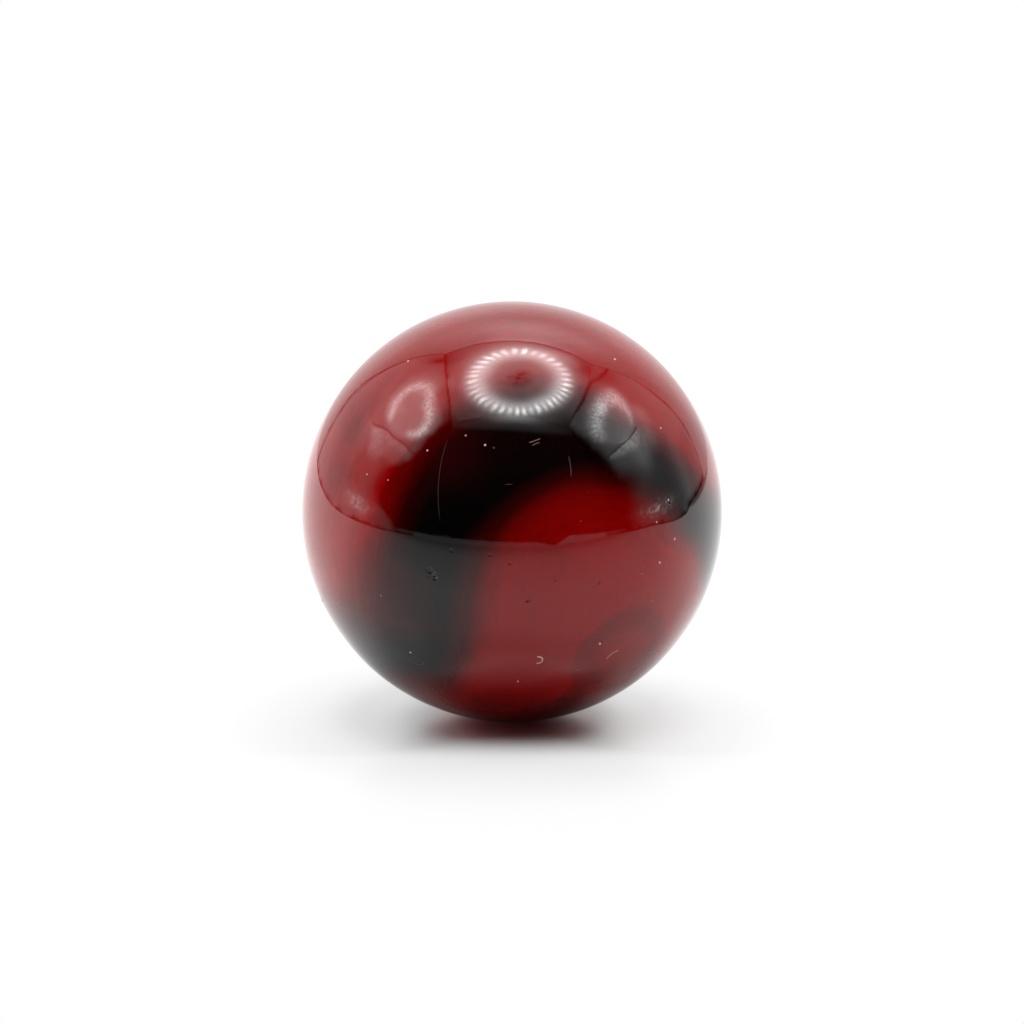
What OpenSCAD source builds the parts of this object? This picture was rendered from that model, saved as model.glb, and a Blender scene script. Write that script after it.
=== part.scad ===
// A solid glass marble: one machine-moulded ball with a few small surface flaws.
// The origin is the centre of the ball, +Z is up and the front faces -Y.

/* [Ball] */
// Diameter of the ball
marble_d = 16; // [12:0.1:25]

/* [Moon bruise] */
// Diameter of the crescent crack, along the middle of its groove
bruise_d = 0.34; // [0.2:0.01:0.8]
// Width of the crack's groove at the surface
bruise_w = 0.06; // [0.02:0.005:0.1]
// How far round the crescent runs, in degrees
bruise_sweep = 200; // [60:5:300]

/* [Pits] */
// Diameter of a pit at the surface
pit_d = 0.16; // [0.06:0.01:0.4]
// Depth of a pit's floor below the surface
pit_depth = 0.035; // [0.02:0.005:0.05]

/* [Hidden] */

glass_red = [0.45, 0.03, 0.03];
ball_fn = 180;
flaw_fn = 48;

marble_r = marble_d / 2;
bruise_r = bruise_d / 2;
pit_r = pit_d / 2;

// Where the flaws sit, as [azimuth, elevation] in degrees. Azimuth 0 is the
// front of the ball (-Y) and grows towards its right (+X).
bruise_at = [8, -29.5];
pit_places = [[4, -10], [-21, -4], [-75, -22], [2, -38], [27, -25], [48, 12]];

// The crescent's two ends point left, and its groove starts below them.
bruise_start = 90 - bruise_sweep / 2;

// A ring or pit of radius r on the surface lies this far from the ball's centre.
function height_of(r) = sqrt(marble_r * marble_r - r * r);

// A pit is the cap of a small ball: pit_d across its rim and cap_depth deep.
cap_depth = height_of(pit_r) - (marble_r - pit_depth);
cutter_r = (pit_r * pit_r + cap_depth * cap_depth) / (2 * cap_depth);

// Turns the children's +Z to the direction [azimuth, elevation], their +X down
// and their +Y to the right, and moves them out from the ball's centre.
module place_at(direction, distance) {
    rotate([0, 0, direction[0] - 90])
        rotate([0, 90 - direction[1], 0])
            translate([0, 0, distance])
                children();
}

// The groove of the crescent crack: part of a thin ring that lies in the surface.
module bruise_groove() {
    place_at(bruise_at, height_of(bruise_r))
        rotate([0, 0, bruise_start])
            rotate_extrude(angle = bruise_sweep, $fn = flaw_fn)
                translate([bruise_r, 0])
                    circle(d = bruise_w, $fn = flaw_fn);
}

// The small ball that leaves one pit.
module pit_cutter(direction) {
    place_at(direction, marble_r - pit_depth + cutter_r)
        sphere(r = cutter_r, $fn = flaw_fn);
}

module marble() {
    color(glass_red)
        difference() {
            sphere(r = marble_r, $fn = ball_fn);
            bruise_groove();
            for (place = pit_places)
                pit_cutter(place);
        }
}

marble();
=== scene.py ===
"""A red and black swirled glass marble on a white floor, inside a small photo tent.

Directions on the ball are (azimuth, elevation) in degrees: azimuth 0 is the front, -Y, and grows towards +X.
Places in the tent are in ball radii from the ball's centre, along the tent's own axes.
"""

import math

import bmesh
import bpy
import numpy as np
from mathutils import Matrix, Vector
from mathutils.kdtree import KDTree


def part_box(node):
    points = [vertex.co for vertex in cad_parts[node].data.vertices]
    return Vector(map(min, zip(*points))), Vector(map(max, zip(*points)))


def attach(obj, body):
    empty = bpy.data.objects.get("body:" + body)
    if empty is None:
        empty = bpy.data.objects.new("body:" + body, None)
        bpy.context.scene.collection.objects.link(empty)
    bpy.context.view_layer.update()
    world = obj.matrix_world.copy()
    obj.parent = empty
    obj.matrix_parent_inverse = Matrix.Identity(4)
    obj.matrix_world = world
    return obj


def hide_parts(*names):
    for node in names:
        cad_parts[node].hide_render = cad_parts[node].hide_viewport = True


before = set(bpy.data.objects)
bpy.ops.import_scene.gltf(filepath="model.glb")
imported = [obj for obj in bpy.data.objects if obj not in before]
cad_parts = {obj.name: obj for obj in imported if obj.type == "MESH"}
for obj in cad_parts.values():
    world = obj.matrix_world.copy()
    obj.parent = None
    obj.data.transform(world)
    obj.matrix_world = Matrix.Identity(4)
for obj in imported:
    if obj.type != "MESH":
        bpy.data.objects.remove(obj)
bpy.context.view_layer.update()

LOW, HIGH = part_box("marble")
RADIUS = (HIGH.z - LOW.z) / 2
CENTRE = (LOW + HIGH) / 2
MM = 0.001
WHITE = (1, 1, 1, 1)


# ---------------------------------------------------------------- helpers

def direction(azimuth, elevation):
    """The unit vector of a direction on the ball."""
    az, el = math.radians(azimuth), math.radians(elevation)
    return Vector((math.sin(az) * math.cos(el), -math.cos(az) * math.cos(el), math.sin(el)))


def smooth(low, high, x):
    """0 at low, 1 at high and level beyond them, with an even rise between. low may be the larger one."""
    t = np.clip((x - low) / (high - low), 0, 1)
    return t * t * (3 - 2 * t)


def bell(x, width):
    """1 where x is 0, falling off on both sides."""
    return np.exp(-(x / width) ** 2)


def blob(x, y, at, size):
    """1 at a place on a card, falling off round it. size is how far that goes each way."""
    return bell(np.hypot((x - at[0]) / size[0], (y - at[1]) / size[1]), 1.0)


class Nodes:
    """Short calls that add shader nodes to a material or a world.

    An input that is a socket is linked, and any other value is set."""

    def __init__(self, owner):
        owner.use_nodes = True
        self.tree = owner.node_tree
        self.tree.nodes.clear()

    def add(self, kind, inputs=(), **settings):
        node = self.tree.nodes.new("ShaderNode" + kind)
        for name, value in settings.items():
            setattr(node, name, value)
        pairs = inputs.items() if isinstance(inputs, dict) else enumerate(inputs)
        for key, value in pairs:
            if isinstance(value, bpy.types.NodeSocket):
                self.tree.links.new(value, node.inputs[key])
            else:
                node.inputs[key].default_value = value
        return node

    def math(self, operation, *values):
        return self.add("Math", values, operation=operation).outputs[0]

    def plus(self, a, b):
        return self.math("ADD", a, b)

    def minus(self, a, b):
        return self.math("SUBTRACT", a, b)

    def times(self, a, b):
        return self.math("MULTIPLY", a, b)

    def times_plus(self, a, b, c):
        """a times b, plus c."""
        return self.math("MULTIPLY_ADD", a, b, c)

    def larger(self, a, b):
        return self.math("MAXIMUM", a, b)

    def rest(self, share):
        """What share leaves of 1."""
        return self.minus(1.0, share)

    def length(self, x, y):
        """How long the arrow (x, y) is."""
        return self.math("SQRT", self.plus(self.times(x, x), self.times(y, y)))

    def dot(self, a, b):
        return self.add("VectorMath", (a, tuple(b)), operation="DOT_PRODUCT").outputs["Value"]

    def unit(self, vector):
        return self.add("VectorMath", (vector,), operation="NORMALIZE").outputs[0]

    def scale(self, vector, factor):
        return self.add("VectorMath", {0: vector, "Scale": factor}, operation="SCALE").outputs[0]

    def ramp(self, x, low, high, start=0.0, end=1.0):
        """From start to end as x goes from low to high, smoothly."""
        limits = {"Value": x, "From Min": low, "From Max": high, "To Min": start, "To Max": end}
        return self.add("MapRange", limits, interpolation_type="SMOOTHSTEP").outputs["Result"]

    def curve(self, x, points):
        """A smooth curve through (x, y) points, both from 0 to 1, and level outside them."""
        held = self.add("Clamp", (x, 0.0, 1.0)).outputs[0]
        node = self.add("FloatCurve", (1.0, held))
        line = node.mapping.curves[0]
        while len(line.points) < len(points):
            line.points.new(0.5, 0.5)
        for point, (px, py) in zip(line.points, points):
            point.location = (px, py)
            point.handle_type = "AUTO_CLAMPED"
        node.mapping.update()
        return node.outputs[0]

    def mix(self, factor, a, b):
        return self.add("Mix", {0: factor, 6: a, 7: b}, data_type="RGBA").outputs[2]

    def noise(self, vector, scale, detail, roughness, output="Fac"):
        settings = {"Vector": vector, "Scale": scale, "Detail": detail, "Roughness": roughness}
        return self.add("TexNoise", settings).outputs[output]

    def attribute(self, name):
        return self.add("Attribute", attribute_name=name).outputs["Fac"]


# ---------------------------------------------------------------- camera

CAMERA_ELEVATION = 14.31
CAMERA_DISTANCE = 30 * RADIUS
CAMERA_SHIFT = -0.0005
SENSOR_WIDTH = 36
BALL_SHARE = 0.41152           # the ball's width as a share of the picture's


def make_camera():
    """Looks at the ball's centre. The lens makes the ball BALL_SHARE of the picture's width."""
    data = bpy.data.cameras.new("camera")
    data.sensor_width = SENSOR_WIDTH
    half_view = math.tan(math.asin(RADIUS / CAMERA_DISTANCE)) / BALL_SHARE
    data.lens = SENSOR_WIDTH / 2 / half_view
    data.shift_y = CAMERA_SHIFT
    data.clip_start = 0.01
    data.clip_end = 10
    camera = bpy.data.objects.new("camera", data)
    bpy.context.scene.collection.objects.link(camera)
    towards = direction(0, CAMERA_ELEVATION)
    camera.location = CENTRE + towards * CAMERA_DISTANCE
    camera.rotation_euler = (-towards).to_track_quat("-Z", "Y").to_euler()
    bpy.context.scene.camera = camera


# ---------------------------------------------------------------- the marble's mesh

FACE_CELLS = 84                # quads along one side of each of the six patches that make the ball
PATCH_MARGIN = 0.01            # bare edge round each patch in the texture space, as a share of its side
REFINE_REACHES = (0.02, 0.008, 0.002)      # how far past a flaw each round of smaller quads goes, in radii
FLAW_MARGIN = 1.5              # how much wider than a mark its smallest quads go
BRUISE_AT = (8, -29.5)
BRUISE_RADIUS = 0.17 * MM
BRUISE_WIDTH = 0.06 * MM
BRUISE_DEPTH = 0.03 * MM
BRUISE_HALF_SWEEP = math.radians(100)
BRUISE_REACH = 0.032           # from the bruise's middle to past its groove, in radii
PIT_RADIUS = 0.08 * MM
PIT_DEPTH = 0.035 * MM
# The pits' dark colour is painted shade.
PIT_SHADE = -0.4
PITS = [(4, -10), (-21, -4), (-75, -22), (2, -38), (27, -25), (48, 12)]
WIDEST_MARK = 0.03             # no mark or pit reaches further than this, in radii
# Small marks: azimuth, elevation, radius in mm, depth as a share of it, and how pale (+) or dark (-). The
# pale is chips, dust specks and painted glints on the pits, and the dark is painted shade in the dents.
MARKS = [(-8.4, 32, 0.055, 0.1, 0.9), (-15, 34.4, 0.05, 0.1, 0.55), (-5.6, 31.3, 0.05, 0.1, 0.3),
         (-26.6, 29.3, 0.05, 0.1, 0.8), (-45.8, 20.2, 0.05, 0.1, 0.6), (-37.6, 19.9, 0.045, 0.1, 0.6),
         (54.6, 31.8, 0.05, 0.1, 0.9), (48.2, 12.8, 0.05, 0.1, 0.9), (42.6, 7.8, 0.05, 0.1, 0.6),
         (49.2, 2, 0.06, 0.1, 0.8), (43.4, -3.4, 0.06, 0.1, 0.8), (2, -38.2, 0.045, 0.1, 0.9),
         (26.9, -25.4, 0.06, 0.1, 0.9), (-32.9, -29.4, 0.05, 0.1, 1.0), (56.2, 54.7, 0.06, 0.1, 0.9),
         (-55.7, 54, 0.05, 0.1, 0.8), (18.8, 11, 0.045, 0.1, 0.25), (21.6, 18.5, 0.04, 0.1, 0.2),
         (37.2, -5.5, 0.05, 0.15, 0.3), (42.4, -14.3, 0.045, 0.1, 0.35), (21.8, -34.5, 0.05, 0.1, 0.3),
         (-16.3, 3.4, 0.08, 0.07, 0.1), (-5.8, 2.7, 0.07, 0.12, -0.12), (-0.6, 0.6, 0.08, 0.12, -0.12),
         (11.5, -4.3, 0.07, 0.22, -0.12), (23.8, -6, 0.09, 0.2, -0.6), (29.8, -15.5, 0.06, 0.2, -0.2),
         (55.8, -20.3, 0.06, 0.2, -0.5), (18.3, -42.9, 0.06, 0.2, 0.1), (-22.4, -2.6, 0.16, 0.16, -0.4),
         (-22.9, -4, 0.12, 0.12, -0.35), (-21, -4.6, 0.1, 0.2, -0.3), (-20.9, -3, 0.05, 0.1, 0.3),
         (-20.3, -4.4, 0.05, 0.1, 0.3), (-21.6, -3.6, 0.05, 0.1, 0.25),
         (4.4, -9.8, 0.11, 0.2, -0.45), (-38.5, -12, 0.05, 0.1, 0.4),
         (120, 20, 0.06, 0.1, 0.8), (160, -12, 0.08, 0.2, -0.4), (-150, 38, 0.05, 0.1, 0.8),
         (-125, 5, 0.06, 0.15, 0.6), (95, -30, 0.07, 0.2, -0.4), (-100, 28, 0.05, 0.1, 0.7),
         (140, 45, 0.06, 0.1, 0.7), (-170, -20, 0.05, 0.1, 0.5)]


def ball_patches(bm):
    """A cube's six faces blown up to a sphere of radius 1, each with its own place in the texture space."""
    uv_layer = bm.loops.layers.uv.new("OFBake")
    n = FACE_CELLS
    places = [math.tan(math.pi / 4 * (2 * i / n - 1)) for i in range(n + 1)]
    sides = [((1, 0, 0), (0, 1, 0)), ((-1, 0, 0), (0, -1, 0)), ((0, 1, 0), (-1, 0, 0)),
             ((0, -1, 0), (1, 0, 0)), ((0, 0, 1), (0, 1, 0)), ((0, 0, -1), (0, 1, 0))]
    for index, (out, across) in enumerate(sides):
        out, across = Vector(out), Vector(across)
        up = out.cross(across)
        grid = [[bm.verts.new((out + across * a + up * b).normalized()) for a in places] for b in places]
        column, row = index % 3, index // 3
        for j in range(n):
            for i in range(n):
                corners = [(i, j), (i + 1, j), (i + 1, j + 1), (i, j + 1)]
                face = bm.faces.new([grid[cj][ci] for ci, cj in corners])
                for loop, (ci, cj) in zip(face.loops, corners):
                    u = (column + PATCH_MARGIN + (1 - 2 * PATCH_MARGIN) * ci / n) / 3
                    v = (row + PATCH_MARGIN + (1 - 2 * PATCH_MARGIN) * cj / n) / 2
                    loop[uv_layer].uv = (u, v)
    bmesh.ops.remove_doubles(bm, verts=bm.verts[:], dist=1e-6)


def kd_tree(points):
    tree = KDTree(len(points))
    for i, point in enumerate(points):
        tree.insert(point, i)
    tree.balance()
    return tree


def refine(bm, spots):
    """Halves the quads near each spot, so that the small flaws have enough points to be cut from.

    spots are (direction, reach)."""
    tree = kd_tree([spot for spot, _ in spots])
    widest = max(reach for _, reach in spots)
    chosen = []
    for face in bm.faces:
        middle = face.calc_center_median().normalized()
        if any(gap < spots[i][1] for _, i, gap in tree.find_range(middle, widest)):
            chosen.append(face)
    edges = list(dict.fromkeys(edge for face in chosen for edge in face.edges))
    bmesh.ops.subdivide_edges(bm, edges=edges, cuts=1, use_grid_fill=True)
    for v in bm.verts:
        v.co.normalize()


def bruise_profile(point):
    """1 in the middle of the crescent groove and 0 outside it. It bulges towards +X, like the CAD's."""
    centre = direction(*BRUISE_AT)
    if point.dot(centre) < math.cos(BRUISE_REACH):
        return 0.0
    side = Vector((0, 0, 1)).cross(centre).normalized()
    up = centre.cross(side)
    x, y = point.dot(side) * RADIUS, point.dot(up) * RADIUS
    angle = math.atan2(y, x)
    held = max(-BRUISE_HALF_SWEEP, min(BRUISE_HALF_SWEEP, angle))
    gap = math.hypot(x - BRUISE_RADIUS * math.cos(held), y - BRUISE_RADIUS * math.sin(held))
    return dent_profile(gap, BRUISE_WIDTH / 2)


def dent_profile(gap, radius):
    """1 in the middle of a round dent and 0 from its rim on."""
    return max(0.0, 1 - (gap / radius) ** 2)


def refined_ball(marks):
    """The bare ball, of radius 1, with small quads where the flaws will be."""
    bm = bmesh.new()
    ball_patches(bm)
    spots = [(spot, FLAW_MARGIN * radius / RADIUS) for spot, radius, _, _ in marks]
    spots.append((direction(*BRUISE_AT), BRUISE_REACH))
    for further in REFINE_REACHES:
        refine(bm, [(spot, reach + further) for spot, reach in spots])
    bmesh.ops.triangulate(bm, faces=[face for face in bm.faces if len(face.verts) > 4])
    return bm


def make_marble():
    """The ball with its moon bruise, pits and small marks cut into the mesh."""
    marks = [(direction(az, el), radius * MM, depth, tint) for az, el, radius, depth, tint in MARKS]
    marks += [(direction(*place), PIT_RADIUS, PIT_DEPTH / PIT_RADIUS, PIT_SHADE) for place in PITS]
    bm = refined_ball(marks)
    tree = kd_tree([mark[0] for mark in marks])
    # Pale for the bruise, chips, specks and painted glints on the pits.
    chips_and_glints = bm.verts.layers.float.new("chips_and_glints")
    # Dark for painted shade in the pits and dents.
    dent_shade = bm.verts.layers.float.new("dent_shade")
    for v in bm.verts:
        point = v.co.normalized()
        groove = bruise_profile(point)
        depth = groove * BRUISE_DEPTH
        pale, dark = groove, 0.0
        for _, i, gap in tree.find_range(point, WIDEST_MARK):
            _, radius, share, tint = marks[i]
            dent = dent_profile(gap * RADIUS, radius)
            depth = max(depth, dent * share * radius)
            pale = max(pale, dent * tint)
            dark = max(dark, -dent * tint)
        v[chips_and_glints] = pale
        v[dent_shade] = dark
        v.co = point * (RADIUS - depth) + CENTRE
    for face in bm.faces:
        face.smooth = True
    mesh = bpy.data.meshes.new("marble_glass")
    bm.to_mesh(mesh)
    bm.free()
    mesh.materials.append(swirl_glass())
    marble = bpy.data.objects.new("marble_glass", mesh)
    bpy.context.scene.collection.objects.link(marble)
    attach(marble, "root")
    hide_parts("marble")


# ---------------------------------------------------------------- the marble's glass

RED = (0.3, 0.0006, 0.0005, 1)
BLACK = (0.0012, 0.0005, 0.0005, 1)
PALE = (1.0, 0.64, 0.6, 1)     # chipped and scratched glass, dust specks, and painted glints on the pits
DARK = (0.02, 0.002, 0.002, 1)             # painted shade in the pits and dents
GLASS_IOR = 1.5
RIPPLE = (0.1, 0.02 * MM)      # the polish's faint ripples: strength and height
DRIFT = 0.04                   # how strongly the melt has drifted
SCRATCH_COVER, MARK_COVER = 0.65, 0.95     # how far the pale colour covers the glass, at most
SWIRL_AXIS = (24, -9)          # the middle of the round red patch that the black ribbon bends over
# The ribbon's edges: the turn round the axis, from straight down (-180) through left, up and right, and how
# far out the edge is there, all in degrees.
RIBBON_INNER = [(-180, 112), (-165, 104), (-150, 72), (-135, 50), (-127, 42), (-120, 37.5), (-105, 34),
                (-90, 32.8), (-67, 31.5), (-30, 30), (0, 29), (12, 27.5), (24, 27.3), (60, 28.5), (75, 32),
                (90, 38), (105, 45), (120, 55), (150, 86), (165, 104), (180, 112)]
RIBBON_OUTER = [(-180, 150), (-150, 134), (-135, 120), (-120, 108), (-112, 92), (-105, 76), (-97, 70),
                (-90, 67.3), (-75, 63.8), (-60, 64.9), (-45, 65.3), (-30, 64.5), (-15, 62), (0, 57),
                (15, 50.5), (30, 48), (45, 47), (58, 48), (66, 51), (75, 60), (90, 84), (120, 112),
                (150, 135), (180, 150)]
# How softly the red comes back outside the ribbon, in degrees.
RIBBON_FRINGE = [(-180, 16), (-120, 17), (-110, 20), (-105, 14), (-90, 9.5), (-76, 4.7), (-60, 4.8),
                 (-30, 5), (0, 4.5), (30, 3.6), (50, 3.6), (70, 6), (90, 10), (180, 16)]
FRINGE_TOP = 60                # above every value of RIBBON_FRINGE
# How red the glass is across the ribbon's two edges. Each list goes outwards, from 0 to 1 across the edge.
INNER_REDNESS = [(0, 1), (0.15, 0.88), (0.3, 0.72), (0.44, 0.46), (0.5, 0.34), (0.6, 0.2), (0.72, 0.14),
                 (0.85, 0.06), (1, 0)]
OUTER_REDNESS = [(0, 0), (0.12, 0.005), (0.2, 0.035), (0.3, 0.07), (0.384, 0.14), (0.46, 0.22), (0.6, 0.52),
                 (0.7, 0.78), (0.82, 0.97), (0.9, 1), (1, 1)]
CURL_AT = [(36.5, -30), (41.5, -48)]       # the brown arch low on the right is the edge of two merged discs
BROOD_AT = [(-59, 18), (-59, 31)]          # a darker streak high on the left
# Soft patches of painted shade low on the ball, and painted light high up and at the front, on the red:
# where, how far out the full tint and its end are, and its factor.
LIGHT_AND_SHADE_PATCHES = [((22, -57), 4, 13, 0.62), ((-2, -53), 5, 16, 0.84), ((-38, 42), 5, 19, 1.18),
         ((62, 48), 10, 28, 1.2), ((-5, 57), 8, 24, 1.15), ((11, -7), 6, 20, 1.1)]
FRONT_SIDE = (0, 14)           # the middle of the side that the photo shows
# A second loop, on the side that the photo doesn't show: its middle, and its two edges as above.
BACK_AXIS = (192, 12)
BACK_INNER = [(-180, 30), (-120, 24), (-60, 18), (0, 20), (60, 27), (120, 34), (180, 30)]
BACK_OUTER = [(-180, 33), (-150, 42), (-90, 44), (-30, 38), (30, 47), (75, 58), (120, 50), (150, 36),
              (180, 33)]
# Hairline scratches: three directions along each, then how strong it is and its half-width in degrees.
SCRATCHES = [((-20.5, 33.9), (-21.3, 22), (-19.6, 10.7), 0.09, 0.16),
             ((17.1, 28.8), (17.4, 25.8), (17.1, 22.8), 0.15, 0.2),
             ((5.3, 32.7), (7.2, 33.2), (9.2, 33.9), 0.4, 0.2),
             ((6.2, 31.8), (7.4, 32.4), (8.6, 32.6), 0.35, 0.2),
             ((31, -31.6), (32.4, -29.8), (34.7, -28.8), 0.8, 0.25),
             ((-33.4, -31), (-31.8, -33.9), (-29.4, -31.4), 0.12, 0.16),
             ((-1.8, 21.4), (-0.9, 21.5), (0.2, 21.4), 0.15, 0.16),
             ((150, 10), (158, 22), (170, 28), 0.25, 0.16),
             ((-120, -10), (-128, 2), (-130, 15), 0.25, 0.16)]


def round_axis(n, p, axis):
    """The angle round an axis and the angle away from it, both in degrees."""
    a = direction(*axis)
    up = (Vector((0, 0, 1)) - a * a.z).normalized()
    side = up.cross(a)
    turn = n.math("DEGREES", n.math("ARCTAN2", n.dot(p, side), n.dot(p, up)))
    return turn, angle_from(n, p, axis)


def angle_from(n, p, spot):
    """How far each place is from a direction, in degrees."""
    return n.math("DEGREES", n.math("ARCCOSINE", n.dot(p, direction(*spot))))


def profile(n, turn, points, top=180):
    """A drawn edge: degrees out, at each turn round the axis."""
    x = n.times_plus(turn, 1 / 360, 0.5)
    y = n.curve(x, [((t + 180) / 360, v / top) for t, v in points])
    return n.times(y, top)


def scratch(n, p, start, middle, end, strength, half_width):
    """A thin arc through three directions, fading towards its ends."""
    a, b, c = direction(*start), direction(*middle), direction(*end)
    centre = (b - a).cross(c - a).normalized()
    slope = math.sqrt(1 - centre.dot(a) ** 2)
    off = n.math("ABSOLUTE", n.minus(n.dot(p, centre), centre.dot(a)))
    line = n.ramp(off, 0.0, math.radians(half_width) * slope, 1.0, 0.0)
    reach = min(a.dot(b), c.dot(b))
    ends = n.ramp(n.dot(p, b), reach, 1 - 0.45 * (1 - reach))
    return n.times(n.times(line, ends), strength)


def ribbon_redness(n, turn, away, streak):
    """1 in clear red glass and 0 in the black ribbon that bends over the round patch."""
    inner = profile(n, turn, RIBBON_INNER)
    outer = profile(n, turn, RIBBON_OUTER)
    fringe = profile(n, turn, RIBBON_FRINGE, FRINGE_TOP)
    # The inner edge takes 16 degrees, 7 of them inside the line, and more low on the left.
    sharpness = n.ramp(turn, -130, -95, 1 / 22, 1 / 16)
    inwards = n.times_plus(n.minus(away, inner), sharpness, 7 / 16)
    # Round the top and the right, its dark side is darker.
    over_the_top = n.times(n.ramp(turn, -70, -50, 0.0, 0.09), n.ramp(inwards, 0.5, 0.72))
    inside = n.curve(n.plus(inwards, over_the_top), INNER_REDNESS)
    # The red returns through a brown shoulder, from 3 fringe widths inside the outer edge to 2 outside it.
    share = n.math("DIVIDE", n.minus(away, outer), fringe)
    wobble = n.times_plus(n.minus(streak, 0.5), 0.9, share)
    outside = n.curve(n.times_plus(wobble, 0.2, 0.6), OUTER_REDNESS)
    # Low on the left the ribbon turns outwards, and leaves half-red glass below it.
    below = n.times(n.ramp(turn, -127, -150, 0.15, 0.95), n.ramp(turn, -180, -170))
    below = n.times(below, n.ramp(turn, -126, -132))
    below = n.times(below, n.ramp(away, 70, 82, 1.0, 0.0))
    return n.larger(n.larger(inside, outside), below)


def back_redness(n, p):
    """The same for the second loop, on the far side."""
    turn, away = round_axis(n, p, BACK_AXIS)
    inside = n.ramp(n.minus(away, profile(n, turn, BACK_INNER)), -5.0, 4.0, 1.0, 0.0)
    outside = n.ramp(n.minus(away, profile(n, turn, BACK_OUTER)), -4.0, 7.0)
    return n.larger(inside, outside)


def swirl_redness(n, unit, p, turn, away, streak):
    """How red the glass is, from 0 in the black to 1, over the whole ball."""
    redness = ribbon_redness(n, turn, away, streak)
    hidden = n.ramp(n.dot(unit, direction(*FRONT_SIDE)), 0.0, -0.25)
    redness = n.times(redness, n.rest(n.times(hidden, n.rest(back_redness(n, p)))))
    # The red patch darkens towards the ribbon above it.
    above = n.ramp(n.math("COSINE", n.math("RADIANS", turn)), 0.2, 0.7)
    veil = n.times(n.ramp(away, 8.0, 22.0, 0.0, 0.19), above)
    redness = n.times(redness, n.rest(veil))
    # The black is a very deep red high up, most on the left.
    height, across = n.dot(unit, (0, 0, 1)), n.dot(unit, (1, 0, 0))
    deep = n.times(n.ramp(height, 0.24, 0.54), n.ramp(across, -0.38, -0.02, 0.09, 0.01))
    return n.larger(redness, deep)


def red_shade(n, unit, p, fine_streak):
    """Faint curls inside the red, as a factor: streaks, clouds, a brown arch, and soft patches of painted
    light and shade.
    """
    clouds = n.noise(unit, 3.0, 3.0, 0.5)
    curl = n.plus(n.times(fine_streak, 0.5), n.times(clouds, 0.5))
    mottle = n.noise(unit, 26.0, 3.0, 0.6)
    shade = n.times(n.ramp(curl, 0.3, 0.7, 0.8, 1.13), n.ramp(mottle, 0.3, 0.7, 0.94, 1.05))
    # The arch's outer edge is sharp on the left and soft on the right.
    arch = n.math("SMOOTH_MIN", angle_from(n, p, CURL_AT[0]), angle_from(n, p, CURL_AT[1]), 5.0)
    across = n.dot(unit, (1, 0, 0))
    start, end = n.ramp(across, 0.42, 0.62, 14.4, 12.0), n.ramp(across, 0.42, 0.62, 15.8, 17.0)
    brown = n.times(n.ramp(arch, start, end, 1.0, 0.0), n.ramp(arch, 6.5, 11.0, 0.13, 0.3))
    shade = n.times(shade, n.rest(brown))
    brood = n.math("SMOOTH_MIN", angle_from(n, p, BROOD_AT[0]), angle_from(n, p, BROOD_AT[1]), 4.0)
    shade = n.times(shade, n.ramp(brood, 1.5, 8.5, 0.74, 1.0))
    # Painted shade low on the ball, and painted light high up and at the front.
    for spot, full, end, factor in LIGHT_AND_SHADE_PATCHES:
        shade = n.times(shade, n.ramp(angle_from(n, p, spot), full, end, factor, 1.0))
    return shade


def swirl_glass():
    """Opaque red glass with a black ribbon that curls round the ball, brown where it thins out."""
    material = bpy.data.materials.new("swirl_glass")
    n = Nodes(material)
    coordinates = n.add("TexCoord").outputs["Object"]
    unit = n.unit(n.add("VectorMath", (coordinates, tuple(CENTRE)), operation="SUBTRACT").outputs[0])
    # The melt drifts a little, so no edge is a true arc.
    drift = n.noise(unit, 2.2, 3.0, 0.45, "Color")
    drift = n.add("VectorMath", (drift, (0.5, 0.5, 0.5)), operation="SUBTRACT").outputs[0]
    p = n.unit(n.add("VectorMath", (unit, n.scale(drift, DRIFT)), operation="ADD").outputs[0])

    # Streaks run along the flow: fine across it, long along it.
    turn, away = round_axis(n, p, SWIRL_AXIS)
    angle = n.math("RADIANS", turn)
    flow = (n.times(away, 0.35), n.math("COSINE", angle), n.math("SINE", angle))
    flow = n.add("CombineXYZ", flow).outputs[0]
    streak = n.noise(flow, 1.0, 3.0, 0.55)
    fine_streak = n.noise(flow, 2.6, 4.0, 0.6)

    redness = swirl_redness(n, unit, p, turn, away, streak)
    redness = n.times(redness, red_shade(n, unit, p, fine_streak))
    colour = n.mix(redness, BLACK, RED)
    # Painted shade darkens the pits and dents.
    colour = n.mix(n.ramp(n.attribute("dent_shade"), 0.05, 0.9), colour, DARK)
    # Pale chips, scratches and specks, with painted glints on the pits.
    marks = n.ramp(n.attribute("chips_and_glints"), 0.05, 0.9)
    for row in SCRATCHES:
        marks = n.larger(marks, n.times(scratch(n, unit, *row), SCRATCH_COVER))
    colour = n.mix(n.times(marks, MARK_COVER), colour, PALE)

    smudge = n.noise(unit, 5.0, 5.0, 0.6)
    roughness = n.larger(n.ramp(smudge, 0.3, 0.75, 0.015, 0.05), n.times(marks, 0.4))
    ripple = n.noise(unit, 9.0, 2.0, 0.4)
    bump = n.add("Bump", {"Strength": RIPPLE[0], "Distance": RIPPLE[1], "Height": ripple}).outputs[0]
    finish = {"Base Color": colour, "Roughness": roughness, "IOR": GLASS_IOR, "Normal": bump}
    shader = n.add("BsdfPrincipled", finish)
    n.add("OutputMaterial", {"Surface": shader.outputs[0]})
    return material


# ---------------------------------------------------------------- the photo tent

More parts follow.
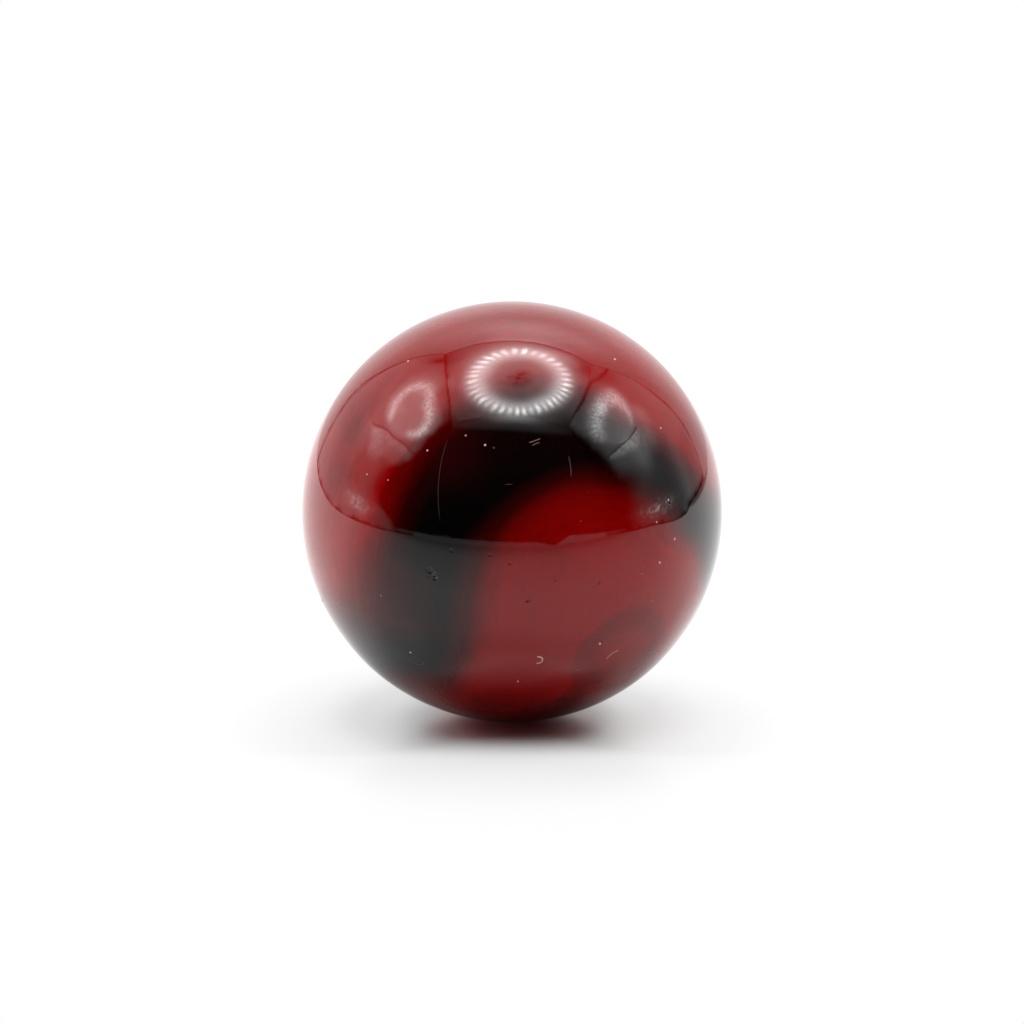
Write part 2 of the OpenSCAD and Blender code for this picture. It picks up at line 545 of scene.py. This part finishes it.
TENT_YAW = math.radians(-3.14)
LEFT, RIGHT = -15.9, 18.3
FRONT, BACK = -13.4, 17.8
FLOOR, TOP = -1.0, 31.25
LAMP_AT = (1.9, 0.4)
LAMP_RADIUS = 10.5
LAMP_DOTS = 36
HOLE_AT = (1.4, 0.4)           # the hole in the top, inside the ring of lamps
HOLE_ALONG = (0.82, 0.57)      # the diagonal that its creases run along
CARD_CELLS = 200
SEAM_STEPS = (0, 0.07, 0.14, 0.21, 0.28, 0.36, 0.46, 0.6, 0.8)     # a card's first points from its edge
SEAM = 0.3                     # about half the width of the dark seams
SOFTNESS = 0.57                # the share of the top's light that falls on matt surfaces
FILM_GRAIN = 0.35              # the size of the sparkles in the side walls' silver film
# The top's dark corners: where, how wide and how dark.
TOP_CORNERS = [((LEFT, BACK - 3), 5.0, 0.65), ((RIGHT - 1, BACK - 4), 4.2, 0.75),
               ((LEFT, FRONT), 5.0, 0.5), ((RIGHT, FRONT), 5.5, 0.8)]

# Lines on the side walls, as (y, z) points: a flap's fold, its hem, and the top's edge, which sags over the
# wall. Each wall also ends at the front in a dark edge, given as (z, y).
LEFT_FOLD = [(-8.2, 11.7), (-5.4, 11.4), (-0.3, 10.4), (4.8, 8.9)]
LEFT_HEM = [(-8.2, 11.2), (-4, 8.4), (0.3, 6.2), (4.8, 8.8)]
LEFT_RIM = [(-13.4, 27.3), (-10, 28.2), (-5.6, 29.8), (-1.9, 30.6), (2.2, 31.2), (5.3, 31.3)]
LEFT_EDGE = [(-1, -9), (0.3, -8), (1.1, -6.8), (2, -4.5), (3.6, -3.6), (6.2, -3.9), (8.6, -6), (10.6, -8),
             (14, -8.3), (20, -9), (26, -9.8), (31, -11)]
RIGHT_FOLD = [(-8, 12.6), (-3.5, 12.4), (0.5, 12.1), (3.6, 12.3)]
RIGHT_HEM = [(-8, 12.2), (-3, 10.6), (0, 9.9), (3.6, 11.8)]
RIGHT_RIM = [(-13.4, 31.25), (-7.7, 30.9), (-4.1, 30), (-0.3, 29.5), (3.3, 29.7), (7.8, 29.6), (11.6, 26.9),
             (16.3, 25.6), (17.8, 25.4)]
RIGHT_EDGE = [(-1, -5.6), (0.3, -5.6), (1.2, -6.2), (2.6, -5.3), (6, -4.9), (8.4, -6.6), (10.6, -7.8),
              (14, -8.6), (20, -10.2), (26, -11.8), (31, -13)]
# Paler patches of the right wall's film: how bright, where and how large each way.
RIGHT_SHEEN = [(0.9, (7.2, 12.9), (1.8, 2.2)), (0.8, (-1.3, 11.6), (1.8, 1.6)),
               (0.35, (5.5, 14.6), (3.5, 2.4)), (0.6, (4.7, 10.6), (1.5, 2.4))]
# The floor's edge under the front opening, as (x, z).
SILL = [(-16, -0.3), (-8, -0.24), (-4.8, -0.33), (0.5, -0.36), (3, -0.45), (6.4, -0.97), (7.4, -0.56),
        (8.8, 0.06), (11.7, 0), (15.4, -0.26), (18.3, -0.3)]
# How far each side wall's foot bulges in over the floor, where that is most, and its reach along the wall.
FEET = {"left_wall": (1.6, 4.0, 5.0), "right_wall": (7.0, 3.0, 4.0)}
# The share of its light that falls on matt surfaces, high up and near the floor.
WALL_MATT = {"left_wall": (0.72, 3.3), "right_wall": (1.3, 0.95)}


def to_world(places):
    """Tent places, in ball radii, as points in the row frame."""
    turn = np.array(Matrix.Rotation(TENT_YAW, 3, "Z"))
    return places @ turn.T * RADIUS + np.array(CENTRE)


def steps(low, high):
    """Places from low to high, closer together at both ends, where the seams are."""
    near = np.array(SEAM_STEPS)
    middle = np.linspace(low + 1, high - 1, CARD_CELLS)
    return np.concatenate([low + near, middle, high - near[::-1]])


def eased(x, points):
    """A soft line through points (x, y), level at each of them."""
    xs, ys = np.array(points, dtype=float).T
    i = np.clip(np.searchsorted(xs, x) - 1, 0, len(xs) - 2)
    return ys[i] + (ys[i + 1] - ys[i]) * smooth(xs[i], xs[i + 1], x)


def grain(x, y, cell, seed):
    """Smooth random values from 0 to 1, a new one every cell."""
    table = np.random.default_rng(seed).random((64, 64))
    gx, gy = x / cell + 100, y / cell + 100
    i, j = np.floor(gx).astype(int), np.floor(gy).astype(int)
    fx, fy = smooth(0, 1, gx - i), smooth(0, 1, gy - j)
    low = table[i % 64, j % 64] * (1 - fx) + table[(i + 1) % 64, j % 64] * fx
    high = table[i % 64, (j + 1) % 64] * (1 - fx) + table[(i + 1) % 64, (j + 1) % 64] * fx
    return low * (1 - fy) + high * fy


def cloth(x, y, seed):
    """Creases in the tent's cloth, as a factor near 1."""
    return 0.9 + 0.12 * grain(x, y, 3.1, seed) + 0.08 * grain(x, y, 0.9, seed + 1)


def seam(gap, along, seed):
    """A ragged dark line where gap is 0, as a factor. along runs with the line."""
    wander = 0.35 * (grain(along, 0 * along, 0.5, seed) - 0.5)
    width = SEAM * (0.5 + 1.0 * grain(along, 0 * along, 0.9, seed + 1))
    depth = 0.7 + 0.3 * grain(along, 0 * along, 0.35, seed + 2)
    return 1 - depth * bell(gap + wander, width)


def glow_material(name, sampling):
    """Gives out light as its mesh's glow attribute says, times its matt attribute to matt surfaces."""
    material = bpy.data.materials.new(name)
    n = Nodes(material)
    to_matt = n.add("LightPath").outputs["Is Diffuse Ray"]
    more = n.times(to_matt, n.minus(n.attribute("matt"), 1.0))
    level = n.times(n.attribute("glow"), n.plus(more, 1.0))
    light = n.add("Emission", {"Color": WHITE, "Strength": level})
    n.add("OutputMaterial", {"Surface": light.outputs[0]})
    material.cycles.emission_sampling = sampling
    return material


def make_glowing(name, places, glow, material, matt=1.0):
    """A card in the tent that glows: a grid of places, and how bright it is at each."""
    rows, columns = places.shape[:2]
    j, i = np.meshgrid(np.arange(rows - 1), np.arange(columns - 1), indexing="ij")
    corner = j * columns + i
    quads = np.stack([corner, corner + 1, corner + columns + 1, corner + columns], -1)
    mesh = bpy.data.meshes.new(name)
    mesh.from_pydata(to_world(places.reshape(-1, 3)).tolist(), [], quads.reshape(-1, 4).tolist())
    for kind, values in (("glow", glow), ("matt", np.broadcast_to(matt, glow.shape))):
        attribute = mesh.attributes.new(kind, "FLOAT", "POINT")
        attribute.data.foreach_set("value", values.astype(np.float32).ravel())
    mesh.materials.append(material)
    card = bpy.data.objects.new(name, mesh)
    card.visible_camera = False
    card.visible_shadow = False
    bpy.context.scene.collection.objects.link(card)
    return card


def lamp_glow(x, y):
    """A ring of bright dots, pale inside and dimmer outside. x and y are from its middle."""
    r, angle = np.hypot(x, y), np.arctan2(y, x)
    strength = np.random.default_rng(5).uniform(0.5, 1.35, LAMP_DOTS)
    which = np.round(angle / (2 * math.pi / LAMP_DOTS)).astype(int) % LAMP_DOTS
    uneven = 2.2 * (grain(angle * 3, r / 2, 1.0, 7) - 0.5)
    dot = smooth(-0.7, 0.8, np.cos(angle * LAMP_DOTS + uneven))
    # The ring of dots is a little wider along one diagonal and at the front.
    r = r - 0.4 * np.cos(2 * angle - 2.3) - 0.4 * bell(angle + 1.6, 0.6)
    shelf = 1.0 + 0.9 * smooth(1.0, 4.5, r) * smooth(16, 9, r)
    shelf = shelf * (1 + 0.05 * y * smooth(10, 7, r))
    left = bell(math.pi - np.abs(angle), 0.8)
    band = (7.0 + 0.6 * left) * bell(r - LAMP_RADIUS, 2.65 + 0.3 * left)
    outer_band = smooth(0, 12, y) * bell(r - LAMP_RADIUS - 4, 3.0)
    dots = 8.0 * dot * strength[which] * bell(r - LAMP_RADIUS - 1, 1.3)
    dots = dots * (1 + 0.6 * bell(angle + 0.8, 0.7)) * (0.55 + 0.9 * grain(x, y, 0.6, 9))
    return shelf + band + outer_band + dots


def top_glow(x, y):
    glow = lamp_glow(x - LAMP_AT[0], y - LAMP_AT[1])
    # The hole in the middle of the ring, where a camera could look in, is dark and creased along a diagonal.
    hx, hy = x - HOLE_AT[0], y - HOLE_AT[1]
    along, across = hx * HOLE_ALONG[0] + hy * HOLE_ALONG[1], hy * HOLE_ALONG[0] - hx * HOLE_ALONG[1]
    hole = blob(along, across, (0, 0), (3.2, 1.9))
    glow = glow * (1 - 0.8 * hole * smooth(0.3, 0.7, grain(along / 2, across, 0.7, 11)))
    glow = glow + 0.8 * blob(x, y, (-14.6, 2.5), (1.5, 2.5))
    for at, width, dark in TOP_CORNERS:
        glow = glow * (1 - dark * blob(x, y, at, (width, width)))
    glow = glow + 1.6 * blob(x, y, (8.5, 13.5), (5, 2.5))
    # The seam at the back is fainter in its middle, and the one on the left is only there at the back.
    faint = 1 - 0.5 * bell(x + 1, 6)
    back_line = 1 - (1 - seam(BACK - y, x, 23)) * faint
    glow = glow * back_line * (1 - 0.3 * faint * bell(BACK - y, 1.0))
    left_line = seam(x - LEFT, y, 25) * (1 - 0.4 * bell(x - LEFT, 1.0))
    glow = glow * (1 + (left_line - 1) * smooth(3, 6, y))
    return glow * cloth(x, y, 21)


def mirrored_lamp(x_wall, y, z):
    """A side wall's silver film shows the lamp again. Each place on the wall is seen from the ball, so it is
    followed through the wall to the lamp's mirror image, and given from that image's middle."""
    behind = TOP / np.maximum(z, 2.0)
    return x_wall * behind - (2 * x_wall - LAMP_AT[0]), y * behind - LAMP_AT[1]


def ghost(dx, dy, radius, width):
    """The mirrored ring of dots."""
    dots = 0.95 + 0.2 * np.cos(np.arctan2(dy, dx) * LAMP_DOTS) * grain(dx, dy, 1.4, 8)
    return bell(np.hypot(dx, dy) - radius, width) * dots


def sparkle(y, z, low, spread, seed):
    """The film's uneven shine, as a factor from low to low + spread."""
    return low + spread * grain(y, z, FILM_GRAIN, seed)


def lip(y, z):
    """The front opening's pale lower edge, which runs on round the corners over the walls' dark ends."""
    return 0.26 * smooth(0.1, -0.15, z + 0.3) * smooth(-7.5, -10.0, y)


def left_ring(y, z):
    """The left wall's mirror image of the lamps: a dented ring, and a halo in and round it."""
    dx, dy = mirrored_lamp(LEFT, y, z)
    dx, dy = dx - 1.1, dy - 0.4
    r, angle = np.hypot(dx, dy), np.arctan2(dy, dx)
    back = bell(angle - 2.1, 0.6)
    front = bell(angle + 1.5, 0.45)
    dent = 1.9 * bell(angle + 0.3, 0.45) + 1.3 * back - 1.1 * front + 1.0 * bell(angle - 1.4, 0.5)
    ring = ghost(dx, dy, 11.3 - dent, 2.2 - 0.4 * smooth(0, 8, dy) + 1.3 * back)
    gone = 1 - 0.95 * smooth(0.62, 0.92, np.cos(angle + 2.83))
    strength = 3.7 - 0.6 * back + 1.2 * bell(angle + 0.6, 0.5) + 2.2 * front
    halo = 1.6 * smooth(19, 10, r) + 0.4 * smooth(30, 18, r) * back
    return halo + ring * strength * gone * sparkle(y, z, 0.35, 1.3, 31)


def left_flap(y, z, glow):
    """A flap of cloth hangs from a fold in the left wall: a shiny triangle under a dark line."""
    fold, hem = eased(y, LEFT_FOLD), eased(y, LEFT_HEM)
    flap = smooth(0.0, 0.3, fold - z) * smooth(-1.0, 1.2, z - hem)
    flap = flap * smooth(-7.6, -4.4, y) * smooth(8, 3, y)
    sheen = 0.9 * bell(fold - z - 0.7, 0.8) + 1.1 * blob(y, z, (0.9, 7.6), (2.4, 2.4))
    glow = glow + flap * (0.35 + sheen * sparkle(y, z, 0.4, 1.2, 33))
    glow = glow + 0.55 * blob(y, z, (4.6, 8.2), (2.4, 2.4))
    return glow * (1 - 0.6 * bell(fold - z, 0.16) * smooth(-8.6, -8.0, y) * smooth(5.0, 4.2, y))


def left_glow(y, z):
    low_front = smooth(4.5, 1.5, y) * smooth(7, 4, z) * smooth(1.0, 3.0, z)
    high_back = smooth(12, 16, y) * smooth(16, 25, z)
    glow = 0.92 - 0.28 * low_front - 0.25 * high_back + left_ring(y, z)
    glow = left_flap(y, z, glow)
    glow = glow * (1 - 0.55 * smooth(-1.0, -3.5, y) * smooth(8.0, 6.5, z))
    edge = eased(z, LEFT_EDGE) + 0.8 * (grain(z, y, 1.7, 35) - 0.5)
    glow = glow * smooth(-0.8, 1.3, y - edge)
    # A crumpled, shiny patch stands at the wall's foot, and the corner high at the back is dark.
    patch = blob(y, z, (-0.4, 0.85), (2.6, 0.75))
    glow = glow + patch * (0.45 + 2.3 * smooth(0.4, 0.8, grain(y, z, 0.16, 37)))
    glow = glow * (1 - 0.85 * blob(y, z, (14.2, 28.5), (2.0, 4.0)))
    # The top's edge sags over the wall's front half.
    rim = eased(y, LEFT_RIM)
    glow = glow * (1 - 0.35 * smooth(23, 26, z) * smooth(4, 0, y))
    glow = glow * (1 - 0.5 * smooth(-4, -9, y) * smooth(22, 26, z))
    glow = glow + (0.85 - glow) * smooth(0, 0.3, z - rim) * (1 - 0.7 * smooth(-6, -11, y))
    glow = np.maximum(glow, lip(y, z)) * cloth(y, z, 41)
    return glow * seam(rim - z, y, 43) * (1 - 0.5 * bell(rim - z - 0.3, 1.0))


def right_ring(y, z):
    """The right wall's mirror image of the lamps: bright on its inner side and gone on the outer."""
    dx, dy = mirrored_lamp(RIGHT, y, z)
    r, angle = np.hypot(dx, dy), np.arctan2(dy, dx)
    from_inner = math.pi - np.abs(angle)
    inner = bell(from_inner, 0.6)
    radius = 10.0 - 1.3 * inner + 1.4 * bell(angle + 1.6, 0.5) + 1.0 * bell(angle - 2.2, 0.4)
    ring = ghost(dx, dy, radius, 3.4 - 1.8 * smooth(-6, 8, dx) - 0.6 * inner)
    strength = 0.5 + 3.0 * ((1 - np.cos(angle)) / 2) ** 1.3 + 4.0 * bell(from_inner, 0.35)
    for more, at, width in ((2.0, 2.1, 0.5), (1.2, -2.3, 0.4), (1.0, 1.2, 0.4)):
        strength = strength + more * bell(angle - at, width)
    gone = 1 - 0.9 * smooth(1.25, 0.7, np.abs(angle + 0.5))
    halo = (1.2 - 0.2 * smooth(-0.4, -1.3, angle)) * smooth(17, 8, r)
    streak = 1.2 * bell(r - 11.8, 0.7) * bell(angle + 0.35, 0.45)
    return halo + ring * strength * gone * sparkle(y, z, 0.4, 1.2, 51) + streak


def right_flap(y, z, glow):
    """The right wall's flap: a paler strip under a dark line."""
    fold, hem = eased(y, RIGHT_FOLD), eased(y, RIGHT_HEM)
    flap = smooth(0.0, 0.3, fold - z) * smooth(-1.1, 1.2, z - hem)
    flap = flap * smooth(-8.4, -6.8, y) * smooth(5.0, 2.5, y)
    glow = glow + flap * 1.8 * sparkle(y, z, 0.4, 1.2, 53)
    glow = glow + 0.9 * blob(y, z, (-0.2, 8.0), (2.2, 2.1))
    return glow * (1 - 0.65 * bell(fold - z, 0.18) * smooth(-8.2, -7.4, y) * smooth(3.8, 3.0, y))


def right_glow(y, z):
    low_front = smooth(9.5, 6.5, z) * smooth(10, 4, y)
    low_back = smooth(8.0, 4.0, z) * smooth(8, 12, y)
    glow = 0.85 - 0.45 * low_front - 0.28 * low_back + right_ring(y, z)
    for bright, at, size in RIGHT_SHEEN:
        glow = glow + bright * blob(y, z, at, size)
    glow = glow + 0.9 * blob(y, z, (2.4, 10.4), (1.7, 1.6)) * (0.5 + grain(y, z, 0.4, 59))
    glow = right_flap(y, z, glow)
    # The dark front edge is softer low down.
    edge = eased(z, RIGHT_EDGE) + 0.8 * (grain(z, y, 1.7, 55) - 0.5)
    soft = smooth(9, 7, z)
    glow = glow * smooth(-1.6 - 0.9 * soft, 2.5 + 1.0 * soft, y - edge)
    # A crumpled, shiny patch stands at the foot, which is dark further back, and the high corner is dark.
    patch = blob(y, z, (-0.6, 1.0), (3.2, 0.8))
    creases = smooth(0.55, 0.9, grain(y - z, (y + z) / 2.5, 0.24, 57))
    glow = glow + patch * (0.4 + 3.0 * creases)
    glow = glow * (1 - 0.8 * bell(z - FLOOR, 0.6) * smooth(5.5, 8.5, y))
    glow = glow * (1 - 0.62 * blob(y, z, (14, 26), (4.2, 4.2))) * cloth(y, z, 61)
    # The top's edge sags over this wall too, most at the back.
    rim = eased(y, RIGHT_RIM)
    glow = glow + (0.62 - 0.25 * smooth(-2, -7, y) - glow) * smooth(0, 0.3, z - rim)
    glow = np.maximum(glow, lip(y, z))
    return glow * seam(rim - z, y, 63) * (1 - 0.5 * bell(rim - z + 0.3, 1.0))


def back_glow(x, z):
    bright = 1.2 * bell(x - 2.0, 9.5) * (smooth(11, 21, z) + 0.55 * smooth(26, 31, z))
    base = 1.08 - 0.12 * smooth(6, 14, z) - 0.28 * smooth(8, 16, np.abs(x + 1))
    glow = (base + bright) * cloth(x, z / 3, 71)
    # The back's side edges lean inwards low down, and the side walls show beyond them.
    lean = 1.7 * bell(z - 5.5, 5.5)
    gap = np.minimum(x - LEFT, RIGHT - x) - lean
    glow = glow * (1 - 0.15 * smooth(0, -0.3, gap))
    return glow * seam(gap, z, 73) * seam(TOP - z, x, 75)


def front_glow(x, z):
    """Black cloth and a dark room behind the camera, with pale tent above and the floor's edge below."""
    sill = eased(x, SILL) + 0.16 * (grain(x, z * 0, 0.6, 81) - 0.5)
    lower = (0.38 + 0.12 * smooth(5, 8, x)) * smooth(0.1, -0.1, z - sill)
    brow = z - 0.018 * (x - 2) ** 2
    upper = 0.42 * smooth(20, 24, brow) * bell(x - 1, 16)
    upper = upper + 5.7 * smooth(23.5, 34, brow) * bell(x - 1.5, 6.5)
    return 0.012 + lower + upper * cloth(x, z, 83)


def wall_card(name, side, glow, y, z, material):
    """A side wall. Its foot bulges in, and shows what a flat wall would in the same line from the ball."""
    bulge, middle, reach = FEET[name]
    gy, gz = np.meshgrid(y, z)
    x = side - np.sign(side) * bulge * bell(gy - middle, reach) * smooth(4, -1, gz)
    in_line = side / x
    shown = glow(gy * in_line, gz * in_line) * seam(gz - FLOOR, gy, 91)
    high, low = WALL_MATT[name]
    matt = high + (low - high) * smooth(14, 2, gz)
    make_glowing(name, np.stack([x, gy, gz], -1), shown, material, matt)


def make_tent():
    """The tent's four sides and its top, which is there twice: to be mirrored, and to light matt surfaces."""
    x, y, z = steps(LEFT, RIGHT), steps(FRONT, BACK), steps(FLOOR, TOP)
    quiet = glow_material("tent_cloth", "NONE")
    wall_card("left_wall", LEFT, left_glow, y, z, quiet)
    wall_card("right_wall", RIGHT, right_glow, y, z, quiet)
    for name, side, glow in (("back_wall", BACK, back_glow), ("front_opening", FRONT, front_glow)):
        gx, gz = np.meshgrid(x, z)
        make_glowing(name, np.stack([gx, np.full_like(gx, side), gz], -1), glow(gx, gz), quiet)
    gx, gy = np.meshgrid(x, y)
    roof = np.stack([gx, gy, np.full_like(gx, TOP)], -1)
    shown = top_glow(gx, gy)
    make_glowing("tent_top", roof, shown, quiet).visible_diffuse = False
    lamp = glow_material("ring_lamp", "FRONT_BACK")
    make_glowing("ring_lamp", roof, SOFTNESS * shown, lamp).visible_glossy = False


# ---------------------------------------------------------------- floor and world

FLOOR_HALF = 60 * RADIUS
FLOOR_MATT = (0.31, 0.86)      # the board's colour to matt surfaces, darker under the ball as painted shade, and well clear of it
# A painted red glow of the ball's light on the board beside the contact.
PAINTED_RED_GLOW = (0.85, 0.25, 0.23, 1)
BOARD = (0.9, 0.9, 0.9, 1)
BOARD_ROUGHNESS = 0.2
BOARD_IOR = 1.45


def board_colour(n, x, y, far, rays):
    """The board's colour, with painted shade round the ball and a painted red glow beside it, which is seen
    as far as it isn't plain white. Lengths are in ball radii.
    """
    # In the ball it has painted shade: darker towards the front, in a nook ahead of the ball, on the left and
    # under the ball.
    nook = n.length(x, n.plus(y, 0.95))
    under = n.length(n.times_plus(x, 0.5, -0.04), n.plus(y, 0.5))
    in_ball = n.times(n.ramp(y, -9.0, 1.0, 0.36, 0.72), n.ramp(nook, 0.15, 0.68, 0.68, 1.0))
    in_ball = n.times(in_ball, n.ramp(x, -0.9, 0.3, 0.93, 1.0))
    in_ball = n.times(in_ball, n.ramp(under, 0.15, 0.36, 0.22, 1.0))
    in_ball = n.times(in_ball, n.ramp(far, 0.15, 0.6, 0.35, 1.0))
    # Matt surfaces are lit by the whole white board, less what the ball shades, which is painted shade in the
    # board's colour.
    grey = n.mix(rays["Is Diffuse Ray"], in_ball, n.ramp(far, 0.8, 2.0, *FLOOR_MATT))
    # To the camera it has a painted red glow from the ball beside the contact, reaching furthest in front of
    # it.
    red_glow_reach = n.plus(far, n.ramp(y, -0.5, 0.1, -0.13, 0.06))
    seen = n.mix(n.ramp(red_glow_reach, 0.16, 0.5), PAINTED_RED_GLOW, BOARD)
    return n.mix(rays["Is Camera Ray"], grey, seen)


def board_whiteness(n, x, y, far, rays, mirrored):
    """How plainly white the board shows: not at all under the ball, softly round it as painted light that
    shapes the shadow's edge, and fully far off.
    """
    # To the camera, painted light lifts the shadow's edge ahead of and round the ball.
    ahead = n.ramp(n.times(y, -1.0), 0.35, 0.78, 0.0, 0.66)
    reach = n.plus(far, n.ramp(y, -0.5, 0.25, -0.05, 0.09))
    around = n.plus(n.ramp(reach, 0.4, 0.72, 0.0, 0.36), n.ramp(far, 0.72, 1.0, 0.0, 0.15))
    to_camera = n.plus(n.larger(ahead, around), n.ramp(far, 1.05, 2.6, 0.0, 0.53))
    # In the ball, painted light whitens the board just behind the ball.
    behind = n.times(n.ramp(n.times_plus(x, -0.2, y), -0.45, 0.1), n.ramp(far, 0.6, 1.4, 0.0, 0.8))
    in_ball = n.larger(n.ramp(far, 0.9, 2.4), behind)
    return n.plus(n.times(to_camera, rays["Is Camera Ray"]), n.times(in_ball, mirrored))


def board_tone(n, x, y):
    """How bright the plain white is in the ball: darker towards the front, under the opening."""
    tone = n.plus(n.ramp(y, -11.5, -2.4, 0.32, 0.77), n.ramp(y, -3.3, -1.9, 0.0, 0.13))
    tone = n.plus(tone, n.ramp(y, -1.5, 1.2, 0.0, 0.55))
    # The right wall's foot shades the back right, and the back left is a little brighter.
    shaded = n.times(n.ramp(x, 11.5, 15.0, 0.0, 0.72), n.ramp(y, 3.5, 7.0))
    tone = n.times(tone, n.rest(shaded))
    return n.plus(tone, n.times(n.ramp(x, -2.2, -1.2, 0.08, 0.0), n.ramp(y, -1.3, -0.3)))


def white_board():
    """Glossy white board. Far from the ball it is plain white to the camera, and pale in reflections."""
    material = bpy.data.materials.new("white_board")
    n = Nodes(material)
    place = n.scale(n.add("TexCoord").outputs["Object"], 1 / RADIUS)
    x, y, _ = n.add("SeparateXYZ", (place,)).outputs
    far = n.length(x, y)
    rays = n.add("LightPath").outputs
    mirrored = n.larger(rays["Is Glossy Ray"], rays["Is Transmission Ray"])
    colour = board_colour(n, x, y, far, rays)
    finish = {"Base Color": colour, "Roughness": BOARD_ROUGHNESS, "IOR": BOARD_IOR}
    board = n.add("BsdfPrincipled", finish)
    level = n.plus(n.times(mirrored, n.minus(board_tone(n, x, y), 1.0)), 1.0)
    white = n.add("Emission", {"Color": WHITE, "Strength": level})
    whiteness = board_whiteness(n, x, y, far, rays, mirrored)
    both = n.add("MixShader", (whiteness, board.outputs[0], white.outputs[0]))
    n.add("OutputMaterial", {"Surface": both.outputs[0]})
    return material


def make_floor():
    """A wide square of the board under the ball."""
    mesh = bpy.data.meshes.new("floor")
    corners = [(-1, -1), (1, -1), (1, 1), (-1, 1)]
    points = [(side * FLOOR_HALF, depth * FLOOR_HALF, LOW.z) for side, depth in corners]
    mesh.from_pydata(points, [], [(0, 1, 2, 3)])
    mesh.materials.append(white_board())
    floor = bpy.data.objects.new("floor", mesh)
    bpy.context.scene.collection.objects.link(floor)


def make_world():
    """White to the camera and in reflections, and no light of its own."""
    world = bpy.data.worlds.new("world")
    n = Nodes(world)
    rays = n.add("LightPath").outputs
    seen = n.larger(rays["Is Camera Ray"], rays["Is Glossy Ray"])
    seen = n.larger(seen, rays["Is Transmission Ray"])
    background = n.add("Background", {"Color": WHITE, "Strength": seen})
    n.add("OutputWorld", {"Surface": background.outputs[0]})
    bpy.context.scene.world = world


# ---------------------------------------------------------------- build

make_camera()
make_world()
make_floor()
make_tent()
make_marble()
bpy.context.scene.view_settings.view_transform = "Standard"
